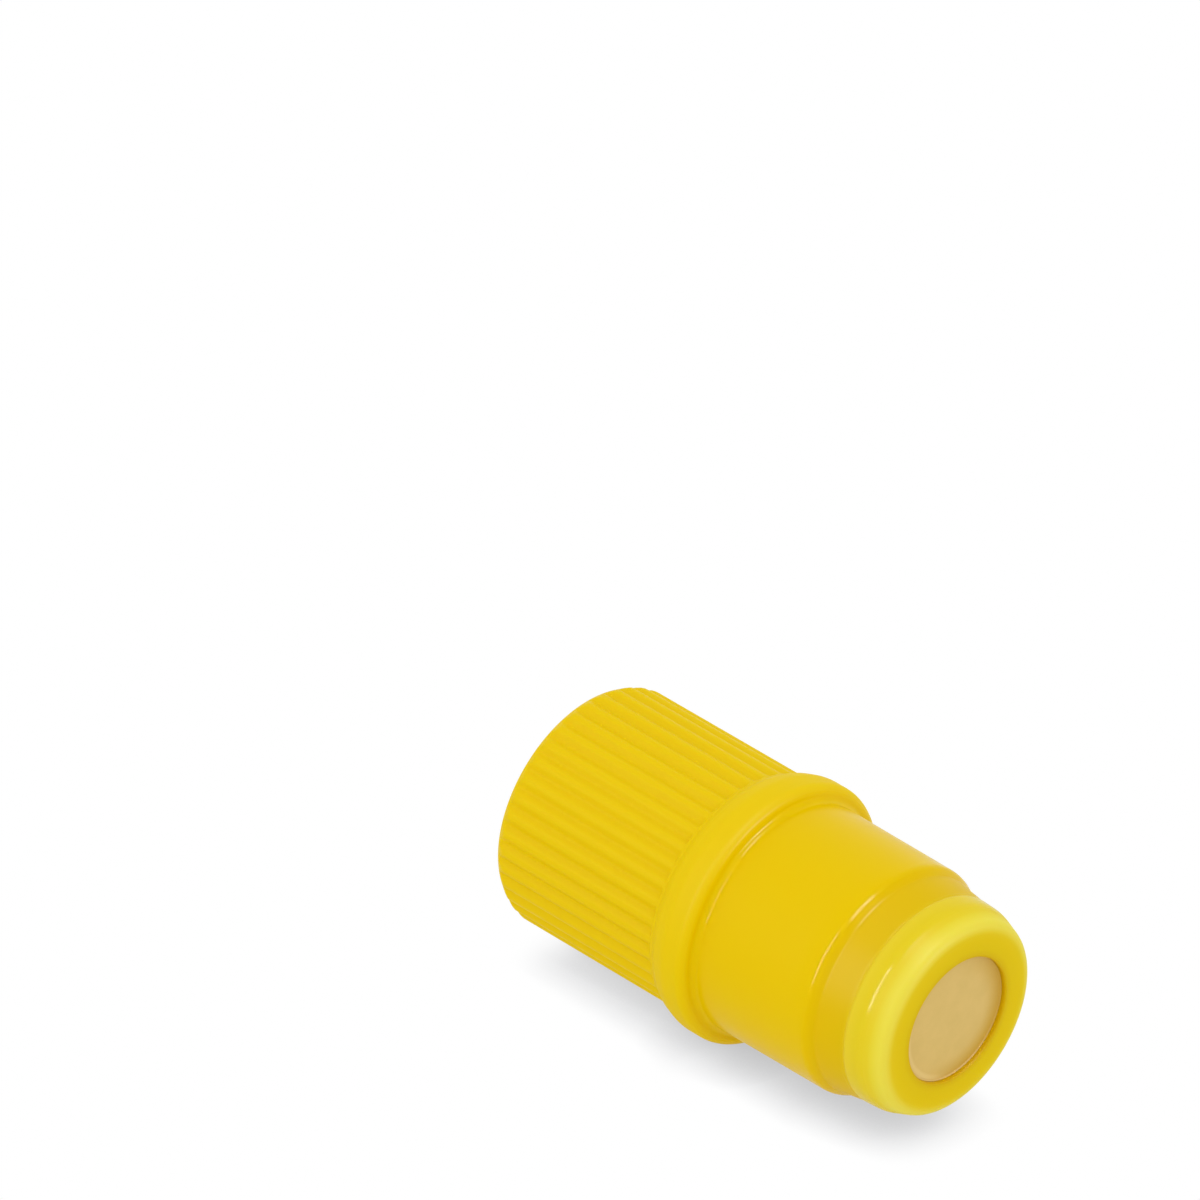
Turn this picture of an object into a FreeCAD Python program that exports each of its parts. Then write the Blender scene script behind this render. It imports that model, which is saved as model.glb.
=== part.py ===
import FreeCAD, Part
import math
import os
import Sketcher

# Luer lock cap with an injection septum, in millimetres.
# The cap's axis is +Z. The origin is the centre of the open end of the collar, so the cap stands on that end
# with the septum on top.

# Driving dimensions
SIZES = [
    # collar, whose fine ribs are what the fingers turn
    ("collar_radius", 4.96),
    ("collar_length", 8.35),
    ("mouth_edge_width", 0.25),
    ("mouth_edge_height", 0.38),
    ("rib_count", 40),
    ("rib_depth", 0.17),
    ("rib_valley_round", 0.25),
    ("rib_end_margin", 0.1),
    ("rib_crest_overrun", 0.003),
    ("rib_cut_gap", 0.02),
    # inside of the collar, with its two-start lock thread
    ("mouth_bore_radius", 4.09),
    ("mouth_bore_edge", 0.12),
    ("mouth_bore_depth", 2.2),
    ("thread_major_radius", 4.0),
    ("thread_minor_radius", 3.5),
    ("thread_lead", 5.0),
    ("thread_starts", 2),
    ("thread_crest_width", 0.35),
    ("thread_root_width", 1.0),
    ("thread_end_depth", 7.4),
    ("collar_bore_depth", 8.8),
    # male luer cone
    ("cone_tip_radius", 1.98),
    ("cone_taper", 0.06),
    ("cone_recess", 0.75),
    ("cone_tip_edge", 0.12),
    ("fluid_bore_radius", 1.21),
    ("fluid_bore_edge", 0.1),
    # flange behind the collar
    ("flange_rise", 0.42),
    ("flange_width", 1.85),
    ("flange_front_length", 0.7),
    ("flange_front_knee_up", 0.29),
    ("flange_front_knee_in", 0.11),
    ("flange_back_round", 0.45),
    ("flange_back_foot", 0.15),
    # barrel, shoulder and formed rim
    ("barrel_root_radius", 4.74),
    ("barrel_end_radius", 4.7),
    ("barrel_length", 5.55),
    ("shoulder_length", 1.18),
    ("shoulder_round", 0.5),
    ("neck_radius", 4.18),
    ("bead_radius", 4.3),
    ("bead_rise", 0.17),
    ("bead_round", 0.45),
    ("bead_length", 2.27),
    ("rim_radius", 4.18),
    ("rim_round", 0.65),
    ("lip_opening_radius", 2.57),
    ("lip_thickness", 0.85),
    ("lip_edge", 0.08),
    # rubber septum and the needle chamber below it
    ("septum_radius", 3.4),
    ("septum_body_length", 4.4),
    ("septum_recess", 0.2),
    ("septum_edge_rise", 0.1),
    ("septum_edge_width", 0.42),
    ("septum_foot_edge", 0.25),
    ("chamber_radius", 2.8),
    ("chamber_floor_height", 11.5),
    ("funnel_depth", 1.3),
]

SKETCH_AXIS = {"X": -1, "Y": -2}
PLACE_TOLERANCE = 0.001
EDGE_SIZE = {"Fillet": "Radius", "Chamfer": "Size"}
ROUNDING_ANGLES = (0, 30, 60, 90)

# Places that follow from the driving dimensions: heights above the open end, radii and lengths
PLACES = [
    ("mouth_edge_radius", "Sizes.collar_radius - Sizes.mouth_edge_width"),
    ("mouth_bore_edge_radius", "Sizes.mouth_bore_radius + Sizes.mouth_bore_edge"),
    ("flange_radius", "Sizes.collar_radius + Sizes.flange_rise"),
    ("flange_knee_radius", "Places.flange_radius - Sizes.flange_front_knee_in"),
    ("flange_knee_height", "Sizes.collar_length + Sizes.flange_front_knee_up"),
    ("flange_crown_height", "Sizes.collar_length + Sizes.flange_front_length"),
    ("flange_back_height", "Sizes.collar_length + Sizes.flange_width"),
    ("shoulder_height", "Places.flange_back_height + Sizes.barrel_length"),
    ("neck_height", "Places.shoulder_height + Sizes.shoulder_length"),
    ("bead_height", "Places.neck_height + Sizes.bead_rise"),
    ("top_height", "Places.neck_height + Sizes.bead_length"),
    ("lip_underside_height", "Places.top_height - Sizes.lip_thickness"),
    ("septum_seat_height", "Places.lip_underside_height - Sizes.septum_body_length"),
    ("septum_face_height", "Places.top_height - Sizes.septum_recess"),
    ("septum_rim_height", "Places.septum_face_height + Sizes.septum_edge_rise"),
    ("septum_face_radius", "Sizes.lip_opening_radius - Sizes.septum_edge_width"),
    ("funnel_end_height", "Sizes.chamber_floor_height - Sizes.funnel_depth"),
    ("cone_root_radius",
     "Sizes.cone_tip_radius + Sizes.cone_taper / 2 * (Sizes.collar_bore_depth - Sizes.cone_recess)"),
    ("collar_gap_radius", "(Sizes.cone_tip_radius + Sizes.thread_minor_radius) / 2"),
    ("thread_foot_radius", "(Sizes.thread_major_radius + Sizes.mouth_bore_radius) / 2"),
    ("thread_start_height", "Sizes.mouth_bore_depth - Sizes.thread_root_width"),
    ("thread_height", "Sizes.thread_end_depth - Places.thread_start_height"),
    ("thread_root_low", "Places.thread_start_height - Sizes.thread_root_width / 2"),
    ("thread_root_high", "Places.thread_start_height + Sizes.thread_root_width / 2"),
    ("thread_crest_low", "Places.thread_start_height - Sizes.thread_crest_width / 2"),
    ("thread_crest_high", "Places.thread_start_height + Sizes.thread_crest_width / 2"),
    ("rib_length", "Sizes.collar_length - Sizes.rib_end_margin"),
    ("rib_crest_radius", "Sizes.collar_radius + Sizes.rib_crest_overrun"),
    ("rib_valley_centre", "Sizes.collar_radius - Sizes.rib_depth + Sizes.rib_valley_round"),
    ("rib_crest_round",
     "(Places.rib_valley_centre^2 + Places.rib_crest_radius^2 - Sizes.rib_valley_round^2"
     " - 2 * Places.rib_valley_centre * Places.rib_crest_radius * cos(180 / Sizes.rib_count))"
     " / (2 * (Places.rib_crest_radius + Sizes.rib_valley_round"
     " - Places.rib_valley_centre * cos(180 / Sizes.rib_count)))"),
    ("rib_crest_centre_out",
     "(Places.rib_crest_radius - Places.rib_crest_round) * cos(180 / Sizes.rib_count)"),
    ("rib_crest_centre_side",
     "(Places.rib_crest_radius - Places.rib_crest_round) * sin(180 / Sizes.rib_count)"),
    ("rib_cut_side", "Places.rib_crest_radius * sin(180 / Sizes.rib_count) - Sizes.rib_cut_gap"),
    ("rib_cut_out", "Sizes.collar_radius + Sizes.rib_depth"),
]


doc = FreeCAD.newDocument("luer_lock_cap")
sheet = doc.addObject("Spreadsheet::Sheet", "Sizes")
for row, (alias, number) in enumerate(SIZES, start=1):
    sheet.set(f"A{row}", alias)
    sheet.set(f"B{row}", str(number))
    sheet.setAlias(f"B{row}", alias)
doc.recompute()

places = doc.addObject("App::VarSet", "Places")
for name, expression in PLACES:
    places.addProperty("App::PropertyFloat", name)
for name, expression in PLACES:
    places.setExpression(name, expression)
doc.recompute()


def amount(expression):
    """The number behind an expression such as Sizes.collar_length."""
    return float(places.evalExpression(expression))


def rounding(across, up, size):
    """Corners of a quarter round that is made in bands, from the side below to the flat face above."""
    return [
        (f"{across} - {size} * (1 - cos({angle}))", f"{up} - {size} * (1 - sin({angle}))")
        for angle in ROUNDING_ANGLES
    ]


def origin_part(body, role):
    """The body's own origin plane or axis with this role."""
    return next(item for item in body.Origin.OriginFeatures if item.Role == role)


def new_sketch(body, name, plane):
    sketch = body.newObject("Sketcher::SketchObject", name)
    sketch.AttachmentSupport = [(origin_part(body, plane), "")]
    sketch.MapMode = "FlatFace"
    return sketch


def bind(sketch, kind, geometry, point, path):
    """Holds a point's distance from the sketch's origin, along X or Y, to a named size."""
    index = sketch.addConstraint(Sketcher.Constraint(kind, -1, 1, geometry, point, amount(path)))
    sketch.setExpression(f"Constraints[{index}]", path)


def bind_radius(sketch, geometry, path):
    index = sketch.addConstraint(Sketcher.Constraint("Radius", geometry, amount(path)))
    sketch.setExpression(f"Constraints[{index}]", path)


def cut_outline(body, name, corners):
    """A closed outline in the plane through the axis, by radius and height; None is the axis or base."""
    sketch = new_sketch(body, name, "XZ_Plane")
    points = [
        FreeCAD.Vector(amount(across) if across else 0, amount(up) if up else 0, 0)
        for across, up in corners
    ]
    add_closed_lines(sketch, points)
    for index, (across, up) in enumerate(corners):
        if across:
            bind(sketch, "DistanceX", index, 1, across)
        else:
            sketch.addConstraint(Sketcher.Constraint("PointOnObject", index, 1, SKETCH_AXIS["Y"]))
        if up:
            bind(sketch, "DistanceY", index, 1, up)
        else:
            sketch.addConstraint(Sketcher.Constraint("PointOnObject", index, 1, SKETCH_AXIS["X"]))
    return sketch


def add_closed_lines(sketch, points):
    """Lines from point to point and back to the first, joined end to end."""
    count = len(points)
    for index in range(count):
        sketch.addGeometry(Part.LineSegment(points[index], points[(index + 1) % count]))
    for index in range(count):
        sketch.addConstraint(Sketcher.Constraint("Coincident", index, 2, (index + 1) % count, 1))


def turn(body, kind, name, sketch):
    """A full turn of an outline about the cap's axis: a Revolution adds, a Groove cuts."""
    before = volume(body)
    feature = body.newObject(f"PartDesign::{kind}", name)
    feature.Profile = sketch
    feature.ReferenceAxis = (sketch, ["V_Axis"])
    feature.Angle = 360
    settle(body, feature, before, cuts=kind == "Groove")
    return feature


def volume(body):
    return body.Shape.Volume if body.Tip else 0.0


def settle(body, feature, before, cuts):
    """Recomputes, and stops if the feature left the body's volume as it was or changed it the wrong way."""
    body.Tip = feature
    doc.recompute()
    change = body.Shape.Volume - before
    if (change >= 0) if cuts else (change <= 0):
        raise RuntimeError(f"{feature.Label} changed the volume by {change:.6f}")


def work_edge(body, kind, name, across, up):
    """Rounds (Fillet) or bevels (Chamfer) the circular edge at this radius and height, by its named size."""
    base = body.Tip
    names = []
    for number, edge in enumerate(base.Shape.Edges, start=1):
        curve = edge.Curve
        if not isinstance(curve, Part.Circle):
            continue
        off = abs(curve.Radius - amount(across)) + abs(curve.Center.z - amount(up))
        if off < PLACE_TOLERANCE and edge.Closed:
            names.append(f"Edge{number}")
    if len(names) != 1:
        raise RuntimeError(f"{name} found {len(names)} edges instead of one")
    feature = body.newObject(f"PartDesign::{kind}", name)
    feature.Base = (base, names)
    setattr(feature, EDGE_SIZE[kind], amount(f"Sizes.{name}"))
    feature.setExpression(EDGE_SIZE[kind], f"Sizes.{name}")
    body.Tip = feature
    doc.recompute()


def make_housing():
    """The one-piece moulding: collar, luer cone, flange, barrel and the rim formed over the septum."""
    body = doc.addObject("PartDesign::Body", "housing")
    body.Label = "housing"
    doc.recompute()
    add_turned_form(body)
    cut_collar_bore(body)
    cut_needle_way(body)
    work_turned_edges(body)
    add_lock_thread(body)
    cut_mouth_bore(body)
    cut_ribs(body)
    return body


def add_turned_form(body):
    """The outer form: collar, flange with its rounded front, barrel, shoulder, neck and rolled bead."""
    outline = cut_outline(
        body,
        "outer_outline",
        [
            (None, None),
            ("Places.mouth_edge_radius", None),
            ("Sizes.collar_radius", "Sizes.mouth_edge_height"),
            ("Sizes.collar_radius", "Sizes.collar_length"),
            ("Places.flange_knee_radius", "Places.flange_knee_height"),
            ("Places.flange_radius", "Places.flange_crown_height"),
            *rounding("Places.flange_radius", "Places.flange_back_height", "Sizes.flange_back_round"),
            ("Sizes.barrel_root_radius", "Places.flange_back_height"),
            ("Sizes.barrel_end_radius", "Places.shoulder_height"),
            ("Sizes.neck_radius", "Places.neck_height"),
            ("Sizes.bead_radius", "Places.bead_height"),
            *rounding("Sizes.rim_radius", "Places.top_height", "Sizes.rim_round"),
            (None, "Places.top_height"),
        ],
    )
    turn(body, "Revolution", "outer_form", outline)


def cut_collar_bore(body):
    """The ring-shaped space between the collar and the luer cone, which ends behind the flange's front."""
    outline = cut_outline(
        body,
        "collar_bore_outline",
        [
            (None, None),
            ("Sizes.thread_major_radius", None),
            ("Sizes.thread_major_radius", "Sizes.collar_bore_depth"),
            ("Places.cone_root_radius", "Sizes.collar_bore_depth"),
            ("Sizes.cone_tip_radius", "Sizes.cone_recess"),
            (None, "Sizes.cone_recess"),
        ],
    )
    turn(body, "Groove", "collar_bore", outline)


def cut_needle_way(body):
    """The septum's pocket under the formed lip, the needle chamber, its funnel and the bore of the cone."""
    outline = cut_outline(
        body,
        "needle_way_outline",
        [
            (None, None),
            ("Sizes.fluid_bore_radius", None),
            ("Sizes.fluid_bore_radius", "Places.funnel_end_height"),
            ("Sizes.chamber_radius", "Sizes.chamber_floor_height"),
            ("Sizes.chamber_radius", "Places.septum_seat_height"),
            ("Sizes.septum_radius", "Places.septum_seat_height"),
            ("Sizes.septum_radius", "Places.lip_underside_height"),
            ("Sizes.lip_opening_radius", "Places.lip_underside_height"),
            ("Sizes.lip_opening_radius", "Places.top_height"),
            (None, "Places.top_height"),
        ],
    )
    turn(body, "Groove", "needle_way", outline)


def work_turned_edges(body):
    """The moulded roundings and small bevels, each at its own size."""
    edges = [
        ("Chamfer", "flange_back_foot", "Sizes.barrel_root_radius", "Places.flange_back_height"),
        ("Fillet", "shoulder_round", "Sizes.barrel_end_radius", "Places.shoulder_height"),
        ("Fillet", "bead_round", "Sizes.bead_radius", "Places.bead_height"),
        ("Chamfer", "lip_edge", "Sizes.lip_opening_radius", "Places.top_height"),
        ("Chamfer", "cone_tip_edge", "Sizes.cone_tip_radius", "Sizes.cone_recess"),
        ("Chamfer", "fluid_bore_edge", "Sizes.fluid_bore_radius", "Sizes.cone_recess"),
    ]
    for kind, name, across, up in edges:
        work_edge(body, kind, name, across, up)


def add_lock_thread(body):
    """Right-hand ridges of the lock thread, one for each start, which run up the collar's wall."""
    section = new_sketch(body, "thread_section", "XZ_Plane")
    foot, crest = amount("Places.thread_foot_radius"), amount("Sizes.thread_minor_radius")
    middle = amount("Places.thread_start_height")
    root_half, crest_half = amount("Sizes.thread_root_width") / 2, amount("Sizes.thread_crest_width") / 2
    corners = [
        FreeCAD.Vector(foot, middle - root_half, 0),
        FreeCAD.Vector(foot, middle + root_half, 0),
        FreeCAD.Vector(crest, middle + crest_half, 0),
        FreeCAD.Vector(crest, middle - crest_half, 0),
    ]
    add_closed_lines(section, corners)
    bind(section, "DistanceX", 0, 1, "Places.thread_foot_radius")
    bind(section, "DistanceX", 2, 1, "Sizes.thread_minor_radius")
    section.addConstraint(Sketcher.Constraint("Vertical", 0))
    section.addConstraint(Sketcher.Constraint("Vertical", 2))
    bind(section, "DistanceY", 0, 1, "Places.thread_root_low")
    bind(section, "DistanceY", 0, 2, "Places.thread_root_high")
    bind(section, "DistanceY", 3, 1, "Places.thread_crest_low")
    bind(section, "DistanceY", 2, 1, "Places.thread_crest_high")
    before = volume(body)
    ridge = body.newObject("PartDesign::AdditiveHelix", "thread_ridge")
    ridge.Profile = section
    ridge.ReferenceAxis = (section, ["V_Axis"])
    ridge.Mode = "pitch-height-angle"
    ridge.setExpression("Pitch", "Sizes.thread_lead")
    ridge.setExpression("Height", "Places.thread_height")
    ridge.LeftHanded = False
    settle(body, ridge, before, cuts=False)
    repeat_about_axis(body, "thread_ridges", ridge, "Sizes.thread_starts", cuts=False)


def repeat_about_axis(body, name, feature, count, cuts):
    """Copies of a feature, evenly spaced about the cap's axis."""
    before = volume(body)
    pattern = body.newObject("PartDesign::PolarPattern", name)
    pattern.Originals = [feature]
    pattern.Axis = (origin_part(body, "Z_Axis"), [""])
    pattern.Angle = 360
    pattern.Occurrences = int(amount(count))
    pattern.setExpression("Occurrences", count)
    settle(body, pattern, before, cuts)


def cut_mouth_bore(body):
    """The plain entry of the collar, which trims the ends of the thread's ridges."""
    outline = cut_outline(
        body,
        "mouth_bore_outline",
        [
            ("Places.collar_gap_radius", None),
            ("Places.mouth_bore_edge_radius", None),
            ("Sizes.mouth_bore_radius", "Sizes.mouth_bore_edge"),
            ("Sizes.mouth_bore_radius", "Sizes.mouth_bore_depth"),
            ("Places.collar_gap_radius", "Sizes.mouth_bore_depth"),
        ],
    )
    turn(body, "Groove", "mouth_bore", outline)


def cut_ribs(body):
    """The collar's fine ribs: one rounded valley between two half crests, repeated around the collar."""
    sketch = new_sketch(body, "rib_valley_outline", "XY_Plane")
    up = FreeCAD.Vector(0, 0, 1)
    valley = FreeCAD.Vector(amount("Places.rib_valley_centre"), 0, 0)
    valley_round, crest_round = amount("Sizes.rib_valley_round"), amount("Places.rib_crest_round")
    out, side = amount("Places.rib_crest_centre_out"), amount("Places.rib_crest_centre_side")
    cut_side, cut_out = amount("Places.rib_cut_side"), amount("Places.rib_cut_out")
    tangent = math.atan2(side, out - valley.x)
    crest_end = math.asin((cut_side - side) / crest_round)
    crest_reach = out + crest_round * math.cos(crest_end)
    sketch.addGeometry([
        Part.ArcOfCircle(Part.Circle(valley, up, valley_round), tangent, 2 * math.pi - tangent),
        Part.ArcOfCircle(
            Part.Circle(FreeCAD.Vector(out, side, 0), up, crest_round), tangent - math.pi, crest_end),
        Part.ArcOfCircle(
            Part.Circle(FreeCAD.Vector(out, -side, 0), up, crest_round), -crest_end, math.pi - tangent),
        Part.LineSegment(FreeCAD.Vector(crest_reach, cut_side, 0), FreeCAD.Vector(cut_out, cut_side, 0)),
        Part.LineSegment(FreeCAD.Vector(cut_out, cut_side, 0), FreeCAD.Vector(cut_out, -cut_side, 0)),
        Part.LineSegment(FreeCAD.Vector(cut_out, -cut_side, 0), FreeCAD.Vector(crest_reach, -cut_side, 0)),
    ])
    constraints = [
        ("PointOnObject", 0, 3, SKETCH_AXIS["X"]),
        ("Tangent", 0, 1, 1, 1),
        ("Tangent", 0, 2, 2, 2),
        ("Symmetric", 1, 3, 2, 3, SKETCH_AXIS["X"]),
        ("Coincident", 1, 2, 3, 1),
        ("Coincident", 3, 2, 4, 1),
        ("Coincident", 4, 2, 5, 1),
        ("Coincident", 5, 2, 2, 1),
        ("Horizontal", 3),
        ("Horizontal", 5),
        ("Symmetric", 4, 1, 4, 2, SKETCH_AXIS["X"]),
    ]
    for constraint in constraints:
        sketch.addConstraint(Sketcher.Constraint(*constraint))
    bind(sketch, "DistanceX", 0, 3, "Places.rib_valley_centre")
    bind_radius(sketch, 0, "Sizes.rib_valley_round")
    bind(sketch, "DistanceX", 1, 3, "Places.rib_crest_centre_out")
    bind(sketch, "DistanceY", 1, 3, "Places.rib_crest_centre_side")
    bind(sketch, "DistanceX", 3, 2, "Places.rib_cut_out")
    bind(sketch, "DistanceY", 3, 2, "Places.rib_cut_side")
    before = volume(body)
    pocket = body.newObject("PartDesign::Pocket", "rib_valley")
    pocket.Profile = sketch
    pocket.Reversed = True
    pocket.setExpression("Length", "Places.rib_length")
    settle(body, pocket, before, cuts=True)
    repeat_about_axis(body, "rib_valleys", pocket, "Sizes.rib_count", cuts=True)


def make_septum():
    """The rubber plug that the rim holds down: it fills the pocket and the lip's opening."""
    body = doc.addObject("PartDesign::Body", "septum")
    body.Label = "septum"
    doc.recompute()
    outline = cut_outline(
        body,
        "septum_outline",
        [
            (None, "Places.septum_seat_height"),
            ("Sizes.septum_radius", "Places.septum_seat_height"),
            ("Sizes.septum_radius", "Places.lip_underside_height"),
            ("Sizes.lip_opening_radius", "Places.lip_underside_height"),
            ("Sizes.lip_opening_radius", "Places.septum_rim_height"),
            ("Places.septum_face_radius", "Places.septum_face_height"),
            (None, "Places.septum_face_height"),
        ],
    )
    turn(body, "Revolution", "plug", outline)
    work_edge(body, "Chamfer", "septum_foot_edge", "Sizes.septum_radius", "Places.septum_seat_height")
    return body


def check_document(bodies):
    """Stops where an object of the document failed or a piece is empty or unsound."""
    for item in doc.Objects:
        if "Invalid" in item.State or "Error" in item.State:
            raise RuntimeError(f"{item.Label} failed: {item.State}")
    for body in bodies:
        shape = body.Shape
        if shape.isNull() or not shape.isValid() or len(shape.Solids) != 1:
            raise RuntimeError(f"{body.Label} is not one sound solid")


bodies = [make_housing(), make_septum()]
doc.recompute()
check_document(bodies)
os.makedirs("parts", exist_ok=True)
for body in bodies:
    body.Shape.exportStep(f"parts/{body.Label}.step")
    print(body.Label, "volume", round(body.Shape.Volume, 3), "box", body.Shape.BoundBox)
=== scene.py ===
import bmesh
import bpy
import math
from mathutils import Matrix, Vector


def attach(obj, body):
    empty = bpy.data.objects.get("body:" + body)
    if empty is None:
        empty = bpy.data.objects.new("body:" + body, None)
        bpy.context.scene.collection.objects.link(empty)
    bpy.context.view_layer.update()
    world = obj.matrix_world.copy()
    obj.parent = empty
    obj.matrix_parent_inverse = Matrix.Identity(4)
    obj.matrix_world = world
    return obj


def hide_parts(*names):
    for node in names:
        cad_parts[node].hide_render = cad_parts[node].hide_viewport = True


# Luer lock cap with an injection septum, lying on a white table. Lengths are millimetres, and MM turns them
# into metres. Only the camera's place and the lamps' distance and sizes are written in metres. The cap's axis
# is +Z, with the open end at zero.

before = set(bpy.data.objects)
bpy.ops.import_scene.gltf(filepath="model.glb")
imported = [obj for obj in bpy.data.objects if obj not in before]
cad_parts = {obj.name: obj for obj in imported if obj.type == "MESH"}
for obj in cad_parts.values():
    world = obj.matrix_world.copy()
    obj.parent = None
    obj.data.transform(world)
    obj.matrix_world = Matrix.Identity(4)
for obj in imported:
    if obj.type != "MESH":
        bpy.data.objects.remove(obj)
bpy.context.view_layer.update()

MM = 0.001
COLUMNS = 480
SEPTUM_COLUMNS = 160

# Degrees of a rounding that one step spans
FINE_STEP = 11
COARSE_STEP = 26

# Radius beyond which a point of the section lies on the outside
OUTSIDE_FROM = 4.5

# Ribs of the collar
RIB_COUNT = 40
RIB_CREST_RADIUS = 4.96
RIB_DEPTH = 0.17
RIB_END = 8.2
RIB_END_SLOPE = 0.12
RIB_END_STEPS = 6
RIB_MOUTH_BLEND = 0.03
RIB_VALLEY_POWER = 1.3
COLLAR_RINGS = (0.5, 0.7, 1.0, 2.0, 4.0, 6.0, 7.8)

# Lock thread
THREAD_ROOT_RADIUS = 4.05
THREAD_CREST_RADIUS = 3.5
THREAD_LEAD = 5.0
THREAD_STARTS = 2
THREAD_ROOT_HALF = 0.5
THREAD_CREST_HALF = 0.175
THREAD_BOTTOM = 2.204
THREAD_FIRST = 1.2
THREAD_LAST = 7.4
THREAD_STEPS = 150
THREAD_ROOT_FLARE = 0.04
THREAD_CREST_EDGE = ((0.08, 0.06), (0.02, 0.0), (0.0, -0.07))
THREAD_CUT_MARGIN = 0.06
THREAD_RUN_OUT = 0.25
THREAD_END_HEIGHT = 0.05
THREAD_END_WIDTH = 0.3

# Camera, from the photograph's perspective
CAMERA_PLACE = (0.0, -0.430612, 0.293087)
CAMERA_RIGHT = (-0.506202, 0.484419, 0.713511)
CAMERA_UP = (-0.862315, -0.296891, -0.410206)
CAMERA_LENS = 415.4

# Table, just clear of the flange that the cap lies on
TABLE_NORMAL = (-0.7788, -0.6256, -0.0454)
TABLE_OFFSET = -5.9
TABLE_SIZE = 900.0
SHADOW_REACH = 2.2

# Lamps: metres from the point on the axis that they aim at, and that point's height in millimetres
LAMP_DISTANCE = 0.5
LAMP_AIM = 14.0

# Materials: what a share of 1 stands for, in millimetres, and where the rim's colours, with their painted
# shade and sheen, start
HEIGHT_SPAN = 20.0
HOUSING_REACH = 5.0
SEPTUM_REACH = 2.5
FACE_HEIGHT = 0.9575
LIP_HEIGHT = 0.9
LIP_RADIUS = 0.56
GRAIN_DEPTH = 0.02


def rounded(corners, closed=False, coarse_from=99):
    """Points along a polyline whose corners (radius, height, rounding) are turned into arcs.

    The corners from coarse_from on get fewer points.
    """
    points = []
    count = len(corners)
    for index, (across, up, size) in enumerate(corners):
        here = Vector((across, up))
        if size <= 0 or (not closed and index in (0, count - 1)):
            points.append(here)
            continue
        before = (Vector(corners[index - 1][:2]) - here).normalized()
        after = (Vector(corners[(index + 1) % count][:2]) - here).normalized()
        half = before.angle(after) / 2
        reach = size / math.tan(half)
        middle = here + (before + after).normalized() * (size / math.sin(half))
        first = here + before * reach
        last = here + after * reach
        turn = math.pi - 2 * half
        steps = max(3, round(turn / math.radians(FINE_STEP if index < coarse_from else COARSE_STEP)))
        start = math.atan2(first.y - middle.y, first.x - middle.x)
        sweep = math.atan2(last.y - middle.y, last.x - middle.x) - start
        sweep = (sweep + math.pi) % (2 * math.pi) - math.pi
        for step in range(steps + 1):
            angle = start + sweep * step / steps
            points.append(middle + Vector((math.cos(angle), math.sin(angle))) * size)
    return points


def held(points, closed=False, gap=0.03):
    """Adds a point close to both ends of every long run, so that roundings shade apart from flat faces."""
    result = []
    count = len(points)
    for index, point in enumerate(points):
        result.append(point)
        if index == count - 1 and not closed:
            break
        after = points[(index + 1) % count]
        length = (after - point).length
        if length > 4 * gap:
            step = (after - point) * (gap / length)
            result.append(point + step)
            result.append(after - step)
    return result


def lathe(name, points, columns, radius_at=None, closed=False):
    """A mesh turned about the axis. A point on the axis becomes one vertex."""
    mesh = bpy.data.meshes.new(name)
    vertices = []
    rings = []
    for point in points:
        if point.x < 1e-6:
            rings.append([len(vertices)])
            vertices.append((0, 0, point.y * MM))
            continue
        ring = []
        for column in range(columns):
            angle = 2 * math.pi * column / columns
            across = radius_at(point.x, point.y, column) if radius_at else point.x
            ring.append(len(vertices))
            vertices.append((across * math.cos(angle) * MM, across * math.sin(angle) * MM, point.y * MM))
        rings.append(ring)
    faces = []
    pairs = list(zip(rings, rings[1:]))
    if closed:
        pairs.append((rings[-1], rings[0]))
    for low, high in pairs:
        for column in range(columns):
            after = (column + 1) % columns
            if len(low) == 1:
                faces.append((low[0], high[after], high[column]))
            elif len(high) == 1:
                faces.append((low[column], low[after], high[0]))
            else:
                faces.append((low[column], low[after], high[after], high[column]))
    mesh.from_pydata(vertices, [], faces)
    return finished_mesh(name, mesh)


def finished_mesh(name, mesh):
    """An object of the mesh, with outward normals and smooth shading."""
    work = bmesh.new()
    work.from_mesh(mesh)
    bmesh.ops.recalc_face_normals(work, faces=work.faces)
    work.to_mesh(mesh)
    work.free()
    mesh.shade_smooth()
    thing = bpy.data.objects.new(name, mesh)
    bpy.context.scene.collection.objects.link(thing)
    return thing


def rib_radii():
    """Radius of the ribbed collar at each column: soft valleys between broad rounded crests."""
    radii = []
    for column in range(COLUMNS):
        share = 0.5 + 0.5 * math.cos(RIB_COUNT * 2 * math.pi * column / COLUMNS)
        radii.append(RIB_CREST_RADIUS - RIB_DEPTH * share**RIB_VALLEY_POWER)
    return radii


RIBS = rib_radii()


def collar_radius(across, up, column):
    """The ribbed radius on the outside of the collar, which fades into the mouth's edge and ends in steps."""
    if up > RIB_END + 0.01 or across < OUTSIDE_FROM:
        return across
    share = min(1.0, max(0.0, (RIB_END - up) / RIB_END_SLOPE))
    share = share * share * (3 - 2 * share)
    ribbed = RIB_CREST_RADIUS - (RIB_CREST_RADIUS - RIBS[column]) * share
    spread = max(RIB_MOUTH_BLEND - abs(ribbed - across), 0) / RIB_MOUTH_BLEND
    return min(ribbed, across) - spread * spread * RIB_MOUTH_BLEND / 4


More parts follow.
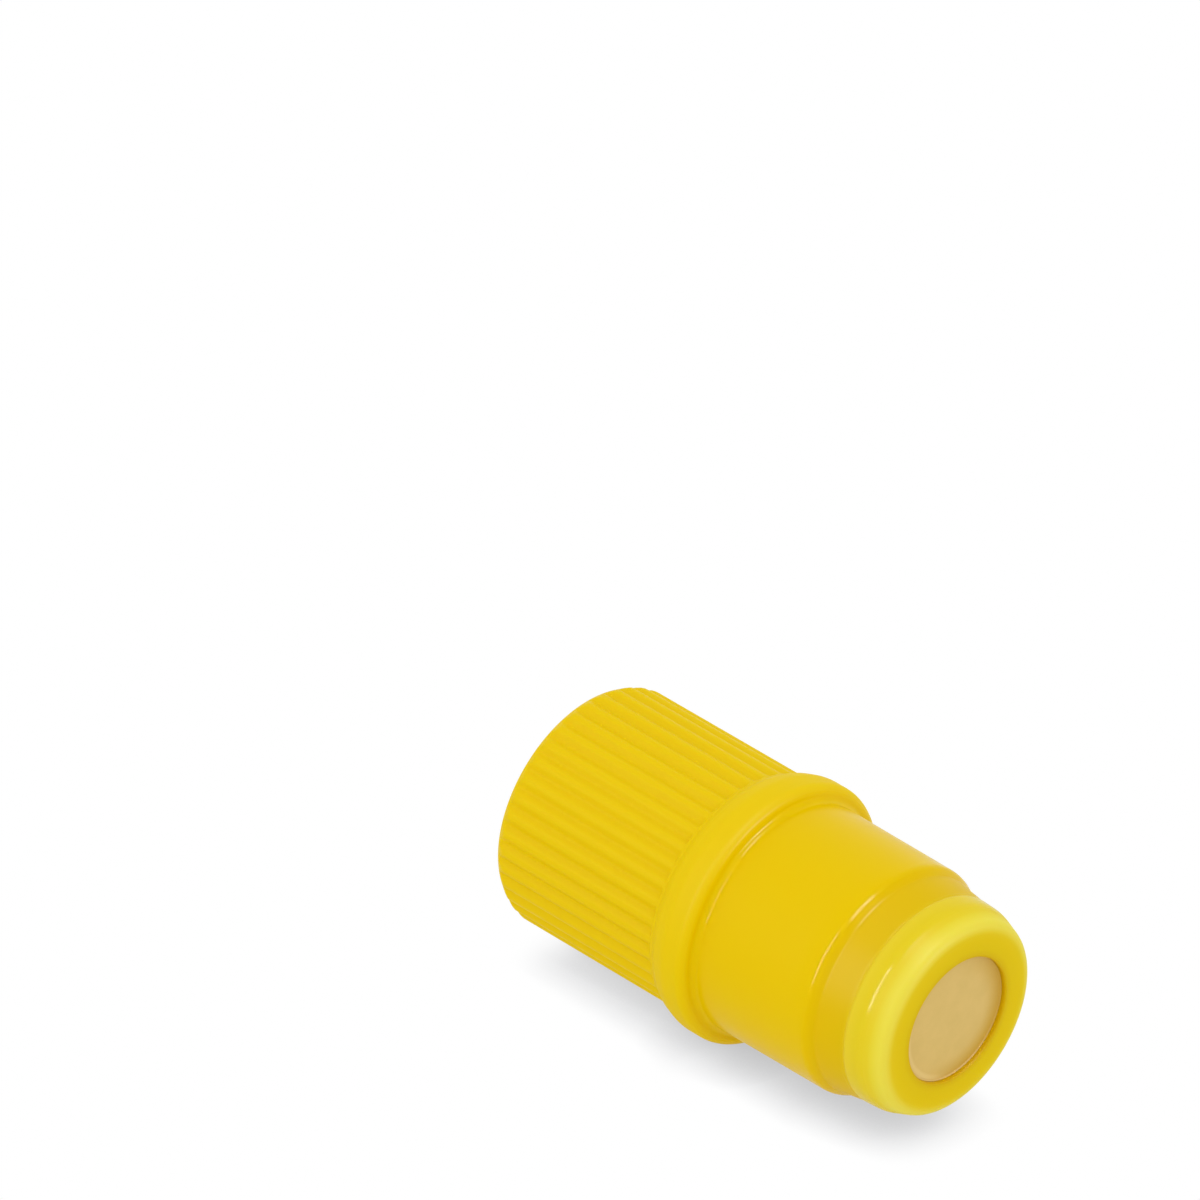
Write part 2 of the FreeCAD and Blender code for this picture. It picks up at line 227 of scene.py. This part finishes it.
def housing_outline():
    """The moulding's whole section, from the mouth up the outside, over the rim and back down the inside."""
    outside = [
        (4.71, 0.0, 0.05),
        (4.96, 0.38, 0.6),
        (4.96, 8.28, 0.1),
        (5.20, 8.62, 0.5),
        (5.37, 9.15, 1.0),
        (5.37, 10.2, 0.38),
        (4.73, 10.2, 0.25),
        (4.695, 15.78, 0.45),
        (4.45, 16.15, 0.25),
        (4.285, 17.36, 0.03),
        (4.258, 17.43, 0.03),
        (4.295, 17.52, 0.1),
        (4.26, 18.17, 1.1),
        (3.90, 19.2, 0.45),
        (2.57, 19.2, 0.08),
    ]
    inside = [
        (2.57, 18.35, 0.03),
        (3.40, 18.35, 0.03),
        (3.40, 13.95, 0.05),
        (2.80, 13.95, 0.05),
        (2.80, 11.50, 0.10),
        (1.21, 10.20, 0.10),
        (1.21, 0.75, 0.10),
        (1.98, 0.75, 0.17),
        (2.2215, 8.80, 0.10),
        (4.00, 8.80, 0.10),
        (4.00, 2.20, 0.02),
        (4.09, 2.20, 0.02),
        (4.09, 0.0, 0.12),
    ]
    points = held(rounded(outside + inside, closed=True, coarse_from=len(outside)), closed=True)
    result = []
    for index, point in enumerate(points):
        result.append(point)
        after = points[(index + 1) % len(points)]
        if point.x > OUTSIDE_FROM and point.y < 1 and after.y > 8:
            result += [Vector((point.x, up)) for up in COLLAR_RINGS]
            for step in range(RIB_END_STEPS + 1):
                result.append(Vector((point.x, RIB_END - RIB_END_SLOPE * (1 - step / RIB_END_STEPS))))
    return sorted_run(result)


def sorted_run(points):
    """Drops points that lie on top of each other or step backwards along the collar."""
    kept = [points[0]]
    for point in points[1:]:
        if (point - kept[-1]).length < 0.004:
            continue
        if point.x > 4.9 and kept[-1].x > 4.9 and 0.4 < point.y < RIB_END and point.y <= kept[-1].y:
            continue
        kept.append(point)
    return kept


def thread_ridges(name):
    """The lock thread's right-hand ridges: strips up the wall, cut flat where the plain entry ends."""
    mesh = bpy.data.meshes.new(name)
    work = bmesh.new()
    upper = [(THREAD_ROOT_RADIUS, THREAD_ROOT_HALF + THREAD_ROOT_FLARE)]
    upper += [(THREAD_CREST_RADIUS + back, THREAD_CREST_HALF + along) for back, along in THREAD_CREST_EDGE]
    section = [(across, -along) for across, along in upper] + upper[::-1]
    first = THREAD_BOTTOM - THREAD_ROOT_HALF - THREAD_CUT_MARGIN
    for start in range(THREAD_STARTS):
        rings = []
        for step in range(THREAD_STEPS + 1):
            middle = first + (THREAD_LAST - first) * step / THREAD_STEPS
            angle = 2 * math.pi * ((middle - THREAD_FIRST) / THREAD_LEAD + start / THREAD_STARTS)
            shrink = min(1.0, (THREAD_LAST - middle) / THREAD_RUN_OUT)
            ring = []
            for across, along in section:
                across = THREAD_ROOT_RADIUS - (THREAD_ROOT_RADIUS - across) * max(shrink, THREAD_END_HEIGHT)
                up = middle + along * max(shrink, THREAD_END_WIDTH)
                ring.append(work.verts.new((
                    across * math.cos(angle) * MM, across * math.sin(angle) * MM, up * MM)))
            rings.append(ring)
        count = len(section)
        for low, high in zip(rings, rings[1:]):
            for index in range(count):
                after = (index + 1) % count
                work.faces.new((low[index], low[after], high[after], high[index]))
        work.faces.new(rings[0][::-1])
        work.faces.new(rings[-1])
    bmesh.ops.remove_doubles(work, verts=work.verts, dist=1e-7)
    everything = work.verts[:] + work.edges[:] + work.faces[:]
    cut = bmesh.ops.bisect_plane(
        work, geom=everything, plane_co=(0, 0, THREAD_BOTTOM * MM), plane_no=(0, 0, 1), clear_inner=True)
    rim = [part for part in cut["geom_cut"] if isinstance(part, bmesh.types.BMEdge)]
    for edge in rim:
        edge.smooth = False
    bmesh.ops.edgeloop_fill(work, edges=rim)
    work.to_mesh(mesh)
    work.free()
    return finished_mesh(name, mesh)


def septum_outline():
    """The rubber plug's section, whose edge climbs the lip's opening a little."""
    corners = [
        (0.0, 13.95, 0),
        (3.39, 13.95, 0.25),
        (3.39, 18.34, 0.05),
        (2.565, 18.34, 0.02),
        (2.565, 19.03, 0.01),
        (2.50, 18.985, 0.1),
        (2.2, 18.985, 0.9),
        (0.0, 19.00, 0),
    ]
    return held(rounded(corners))


def nodes_of(material):
    """The material's node tree, emptied, and its one shader."""
    material.use_nodes = True
    tree = material.node_tree
    tree.nodes.clear()
    output = tree.nodes.new("ShaderNodeOutputMaterial")
    shader = tree.nodes.new("ShaderNodeBsdfPrincipled")
    tree.links.new(shader.outputs["BSDF"], output.inputs["Surface"])
    return tree, shader


def greys(stops):
    """Ramp stops from (place, value) pairs."""
    return [(place, (value,) * 3) for place, value in stops]


def ramp(tree, factor, stops):
    """A colour ramp over the factor, from (place, colour) stops."""
    node = tree.nodes.new("ShaderNodeValToRGB")
    elements = node.color_ramp.elements
    while len(elements) > 1:
        elements.remove(elements[0])
    elements[0].position = stops[0][0]
    elements[0].color = (*stops[0][1], 1)
    for place, colour in stops[1:]:
        elements.new(place).color = (*colour, 1)
    tree.links.new(factor, node.inputs["Fac"])
    return node.outputs["Color"]


def calculate(tree, operation, first, second):
    """A Math node's result. The second value is a socket or a number."""
    node = tree.nodes.new("ShaderNodeMath")
    node.operation = operation
    tree.links.new(first, node.inputs[0])
    if isinstance(second, float):
        node.inputs[1].default_value = second
    else:
        tree.links.new(second, node.inputs[1])
    return node.outputs["Value"]


def vector_math(tree, operation, place, constant=(0.0, 0.0, 0.0)):
    """A vector, or a number where the operation is a length or a dot product."""
    node = tree.nodes.new("ShaderNodeVectorMath")
    node.operation = operation
    node.inputs[1].default_value = constant
    tree.links.new(place, node.inputs[0])
    return node.outputs["Value" if operation in ("LENGTH", "DOT_PRODUCT") else "Vector"]


def from_axis(tree, place, reach):
    """The place across the axis, as a vector and as a distance, where 1 is the reach."""
    scale = 1 / (reach * MM)
    across = vector_math(tree, "MULTIPLY", place, (scale, scale, 0.0))
    return across, vector_math(tree, "LENGTH", across)


def soft_rise(tree, value, low, high, top=1.0):
    """Rises softly from 0 at the low value to the top at the high value."""
    node = tree.nodes.new("ShaderNodeMapRange")
    node.interpolation_type = "SMOOTHSTEP"
    node.inputs["From Min"].default_value = low
    node.inputs["From Max"].default_value = high
    node.inputs["To Max"].default_value = top
    tree.links.new(value, node.inputs["Value"])
    return node.outputs["Result"]


def blend(tree, factor, first, second):
    """The first colour where the factor is 0. Where it is 1, the second, which is a socket or a colour."""
    mix = tree.nodes.new("ShaderNodeMix")
    mix.data_type = "RGBA"
    tree.links.new(factor, mix.inputs[0])
    tree.links.new(first, mix.inputs[6])
    if isinstance(second, tuple):
        mix.inputs[7].default_value = second
    else:
        tree.links.new(second, mix.inputs[7])
    return mix.outputs[2]


def object_place(tree):
    """The point on the surface in the cap's own frame."""
    return tree.nodes.new("ShaderNodeTexCoord").outputs["Object"]


def height_share(tree, place):
    """Height above the open end, as a share of HEIGHT_SPAN."""
    split = tree.nodes.new("ShaderNodeSeparateXYZ")
    share = tree.nodes.new("ShaderNodeMapRange")
    share.inputs["From Min"].default_value = 0.0
    share.inputs["From Max"].default_value = HEIGHT_SPAN * MM
    tree.links.new(place, split.inputs["Vector"])
    tree.links.new(split.outputs["Z"], share.inputs["Value"])
    return share.outputs["Result"]


def grain(tree, shader, height, strength):
    """Fine unevenness of the shader's surface."""
    bump = tree.nodes.new("ShaderNodeBump")
    bump.inputs["Strength"].default_value = strength
    bump.inputs["Distance"].default_value = GRAIN_DEPTH * MM
    tree.links.new(height, bump.inputs["Height"])
    tree.links.new(bump.outputs["Normal"], shader.inputs["Normal"])


def noise(tree, place, scale, detail=2.0):
    node = tree.nodes.new("ShaderNodeTexNoise")
    node.inputs["Scale"].default_value = scale
    node.inputs["Detail"].default_value = detail
    tree.links.new(place, node.inputs["Vector"])
    return node.outputs["Fac"]


def housing_plastic():
    """Yellow moulded plastic: satin on the ribs, glossier on the barrel, with painted shade on the neck's
    waist and round the opening, and a painted sheen on the bead and the rolled rim.
    """
    material = bpy.data.materials.new("housing_plastic")
    tree, shader = nodes_of(material)
    place = object_place(tree)
    height = height_share(tree, place)
    # Colour by height. Painted shade darkens the neck's waist (0.805 to 0.866), and a painted sheen makes the
    # bead and the rolled rim paler (0.878 on).
    wall = ramp(tree, height, [
        (0.0, (0.807, 0.564, 0.0)),
        (0.41, (0.807, 0.564, 0.0)),
        (0.44, (0.816, 0.575, 0.0)),
        (0.50, (0.816, 0.575, 0.0)),
        (0.53, (0.814, 0.551, 0.0)),
        (0.78, (0.808, 0.549, 0.0)),
        (0.805, (0.76, 0.499, 0.0)),
        (0.866, (0.736, 0.494, 0.0)),
        (0.878, (0.795, 0.614, 0.027)),
        (0.90, (0.778, 0.6, 0.017)),
        (0.925, (0.797, 0.624, 0.021)),
        (0.9325, (0.811, 0.672, 0.038)),
        (0.9475, (0.84, 0.725, 0.067)),
        (0.9575, (0.816, 0.682, 0.063)),
    ])
    radius = from_axis(tree, place, HOUSING_REACH)[1]
    # Colour across the rim by radius: painted shade darkens the lip and the face towards the opening, and a
    # painted sheen makes it paler towards the rolled edge.
    face = ramp(tree, radius, [
        (0.514, (0.62, 0.37, 0.0)),
        (0.54, (0.69, 0.47, 0.0)),
        (0.58, (0.74, 0.53, 0.0)),
        (0.66, (0.76, 0.547, 0.0)),
        (0.70, (0.768, 0.56, 0.004)),
        (0.72, (0.78, 0.597, 0.018)),
        (0.74, (0.798, 0.638, 0.044)),
        (0.76, (0.816, 0.682, 0.063)),
    ])
    top = calculate(tree, "GREATER_THAN", height, FACE_HEIGHT)
    inner = calculate(tree, "LESS_THAN", radius, LIP_RADIUS)
    upper = calculate(tree, "GREATER_THAN", height, LIP_HEIGHT)
    lip = tree.nodes.new("ShaderNodeMath")
    lip.operation = "MULTIPLY_ADD"
    tree.links.new(inner, lip.inputs[0])
    tree.links.new(upper, lip.inputs[1])
    tree.links.new(top, lip.inputs[2])
    lip.use_clamp = True
    colour = blend(tree, lip.outputs["Value"], wall, face)
    roughness = ramp(tree, height, greys([
        (0.0, 0.42),
        (0.41, 0.42),
        (0.44, 0.5),
        (0.506, 0.5),
        (0.509, 0.13),
        (0.522, 0.13),
        (0.535, 0.26),
        (0.74, 0.26),
        (0.77, 0.15),
        (0.80, 0.15),
        (0.812, 0.4),
        (0.864, 0.4),
        (0.871, 0.15),
        (0.913, 0.15),
        (0.922, 0.42),
    ]))
    tree.links.new(colour, shader.inputs["Base Color"])
    tree.links.new(roughness, shader.inputs["Roughness"])
    grain(tree, shader, noise(tree, place, 6000.0), 0.06)
    shader.inputs["IOR"].default_value = 1.45
    shader.inputs["Specular IOR Level"].default_value = 0.052
    shader.inputs["Subsurface Weight"].default_value = 0.15
    shader.inputs["Subsurface Radius"].default_value = (1.0, 0.6, 0.1)
    shader.inputs["Subsurface Scale"].default_value = 0.8 * MM
    return material


def septum_rubber():
    """Smooth matt beige rubber, with painted shade along one side of the lip and a painted highlight line
    along the other.
    """
    material = bpy.data.materials.new("septum_rubber")
    tree, shader = nodes_of(material)
    place = object_place(tree)
    plain = ramp(tree, noise(tree, place, 1500.0, 4.0), [
        (0.35, (0.66, 0.450, 0.112)),
        (0.65, (0.69, 0.470, 0.124)),
    ])
    across, radius = from_axis(tree, place, SEPTUM_REACH)
    # Painted shade: near the lip, the rubber is painted darker on one side.
    near = soft_rise(tree, radius, 0.62, 1.0)
    painted_shade_side = vector_math(tree, "DOT_PRODUCT", across, (-0.35, 0.94, 0.0))
    painted_shade_share = calculate(tree, "MULTIPLY", near, soft_rise(tree, painted_shade_side, -0.35, 0.75))
    shaded = blend(tree, painted_shade_share, plain, (0.58, 0.345, 0.03, 1))
    # Painted highlight: a pale line painted near the lip on the other side.
    edge = ramp(tree, radius, greys([(0.90, 0.0), (0.945, 1.0), (0.985, 1.0), (1.0, 0.0)]))
    lit_side = vector_math(tree, "DOT_PRODUCT", across, (0.88, -0.48, 0.0))
    line = calculate(tree, "MULTIPLY", edge, soft_rise(tree, lit_side, 0.35, 0.8, top=0.8))
    colour = blend(tree, line, shaded, (0.80, 0.58, 0.20, 1))
    tree.links.new(colour, shader.inputs["Base Color"])
    grain(tree, shader, noise(tree, place, 4000.0, 3.0), 0.1)
    shader.inputs["Roughness"].default_value = 0.55
    shader.inputs["IOR"].default_value = 1.4
    return material


def table_white():
    """White table that glows a little by itself, which lights the cap from below, with a painted, neutral,
    close shadow round the cap.

    From below it is clear.
    """
    material = bpy.data.materials.new("table_white")
    material.use_nodes = True
    tree = material.node_tree
    tree.nodes.clear()
    output = tree.nodes.new("ShaderNodeOutputMaterial")
    diffuse = tree.nodes.new("ShaderNodeBsdfDiffuse")
    diffuse.inputs["Color"].default_value = (0.5, 0.5, 0.5, 1)
    # A glow of the table's own, with no lamp behind it, adds light on the cap from the table.
    table_glow = tree.nodes.new("ShaderNodeEmission")
    table_glow.inputs["Strength"].default_value = 0.35
    own = tree.nodes.new("ShaderNodeAddShader")
    tree.links.new(diffuse.outputs["BSDF"], own.inputs[0])
    tree.links.new(table_glow.outputs["Emission"], own.inputs[1])
    closeness = tree.nodes.new("ShaderNodeAmbientOcclusion")
    closeness.samples = 16
    closeness.inputs["Distance"].default_value = SHADOW_REACH * MM
    shade = ramp(tree, closeness.outputs["AO"], [
        (0.0, (0.46, 0.46, 0.465)),
        (0.5, (0.84, 0.84, 0.845)),
        (0.7, (0.94, 0.94, 0.942)),
        (0.86, (1.0, 1.0, 1.0)),
    ])
    glow = tree.nodes.new("ShaderNodeEmission")
    tree.links.new(shade, glow.inputs["Color"])
    glow.inputs["Strength"].default_value = 1.0
    rays = tree.nodes.new("ShaderNodeLightPath")
    seen = calculate(tree, "MAXIMUM", rays.outputs["Is Camera Ray"], rays.outputs["Is Transmission Ray"])
    lit = tree.nodes.new("ShaderNodeMixShader")
    tree.links.new(seen, lit.inputs["Fac"])
    tree.links.new(own.outputs["Shader"], lit.inputs[1])
    tree.links.new(glow.outputs["Emission"], lit.inputs[2])
    clear = tree.nodes.new("ShaderNodeBsdfTransparent")
    side = tree.nodes.new("ShaderNodeNewGeometry")
    final = tree.nodes.new("ShaderNodeMixShader")
    tree.links.new(side.outputs["Backfacing"], final.inputs["Fac"])
    tree.links.new(lit.outputs["Shader"], final.inputs[1])
    tree.links.new(clear.outputs["BSDF"], final.inputs[2])
    tree.links.new(final.outputs["Shader"], output.inputs["Surface"])
    return material


def add_table():
    normal = Vector(TABLE_NORMAL).normalized()
    mesh = bpy.data.meshes.new("table")
    half = TABLE_SIZE / 2 * MM
    corners = [(-half, -half, 0), (half, -half, 0), (half, half, 0), (-half, half, 0)]
    mesh.from_pydata(corners, [], [(0, 1, 2, 3)])
    table = bpy.data.objects.new("table", mesh)
    bpy.context.scene.collection.objects.link(table)
    table.matrix_world = (
        Matrix.Translation(normal * TABLE_OFFSET * MM) @ normal.to_track_quat("Z", "Y").to_matrix().to_4x4()
    )
    table.data.materials.append(table_white())


def camera_matrix():
    right, up = Vector(CAMERA_RIGHT).normalized(), Vector(CAMERA_UP).normalized()
    back = right.cross(up).normalized()
    axes = Matrix((right, up, back)).transposed().to_4x4()
    return Matrix.Translation(Vector(CAMERA_PLACE)) @ axes


def add_camera():
    data = bpy.data.cameras.new("camera")
    data.lens = CAMERA_LENS
    data.sensor_width = 36.0
    data.clip_start = 0.01
    data.clip_end = 10.0
    camera = bpy.data.objects.new("camera", data)
    camera.matrix_world = camera_matrix()
    bpy.context.scene.collection.objects.link(camera)
    bpy.context.scene.camera = camera


def add_lamp(name, direction, along, width, length, power, highlights=True):
    """A lamp placed by directions in the picture: right, up and to the camera.

    It makes highlights alone, or else plain light alone.
    """
    axes = camera_matrix().to_3x3()
    aim = (axes @ Vector(direction)).normalized()
    run = axes @ Vector(along)
    run = (run - aim * run.dot(aim)).normalized()
    turn = Matrix((run.cross(aim), run, aim)).transposed().to_4x4()
    data = bpy.data.lights.new(name, "AREA")
    data.shape = "RECTANGLE"
    data.size = width
    data.size_y = length
    data.energy = power
    lamp = bpy.data.objects.new(name, data)
    lamp.matrix_world = Matrix.Translation(Vector((0, 0, LAMP_AIM * MM)) + aim * LAMP_DISTANCE) @ turn
    lamp.visible_camera = False
    lamp.visible_diffuse = not highlights
    lamp.visible_glossy = highlights
    bpy.context.scene.collection.objects.link(lamp)


def set_world():
    """Even white light from all round."""
    world = bpy.data.worlds.new("studio")
    bpy.context.scene.world = world
    world.use_nodes = True
    tree = world.node_tree
    tree.nodes.clear()
    output = tree.nodes.new("ShaderNodeOutputWorld")
    white = tree.nodes.new("ShaderNodeBackground")
    white.inputs["Color"].default_value = (1, 1, 1, 1)
    white.inputs["Strength"].default_value = 1.0
    tree.links.new(white.outputs["Background"], output.inputs["Surface"])


plastic = housing_plastic()
rubber = septum_rubber()

housing = lathe("housing_skin", housing_outline(), COLUMNS, collar_radius, closed=True)
housing.data.materials.append(plastic)
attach(housing, "root")
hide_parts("housing")

thread = thread_ridges("lock_thread")
thread.data.materials.append(plastic)
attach(thread, "root")
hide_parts("housing")

septum = lathe("septum_skin", septum_outline(), SEPTUM_COLUMNS)
septum.data.materials.append(rubber)
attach(septum, "root")
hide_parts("septum")

add_table()
add_camera()
add_lamp("upper_strip", (0.16, 0.68, 0.71), (0.27, 0.23, -0.29), 0.16, 0.24, 6.0)
add_lamp("left_strip", (-0.66, 0.16, 0.73), (0.41, 1.02, 0.28), 0.05, 0.42, 4.8)
add_lamp("right_strip", (0.84, 0.03, 0.54), (0.14, 0.19, -0.23), 0.10, 0.20, 3.5)
add_lamp("front_fill", (-0.225, -0.356, 0.902), (0, 1, 0), 0.3, 0.3, 0.26, highlights=False)
set_world()
bpy.context.scene.view_settings.view_transform = "Standard"

print("triangles", {
    thing.name: sum(len(face.vertices) - 2 for face in thing.data.polygons)
    for thing in (housing, thread, septum)
})
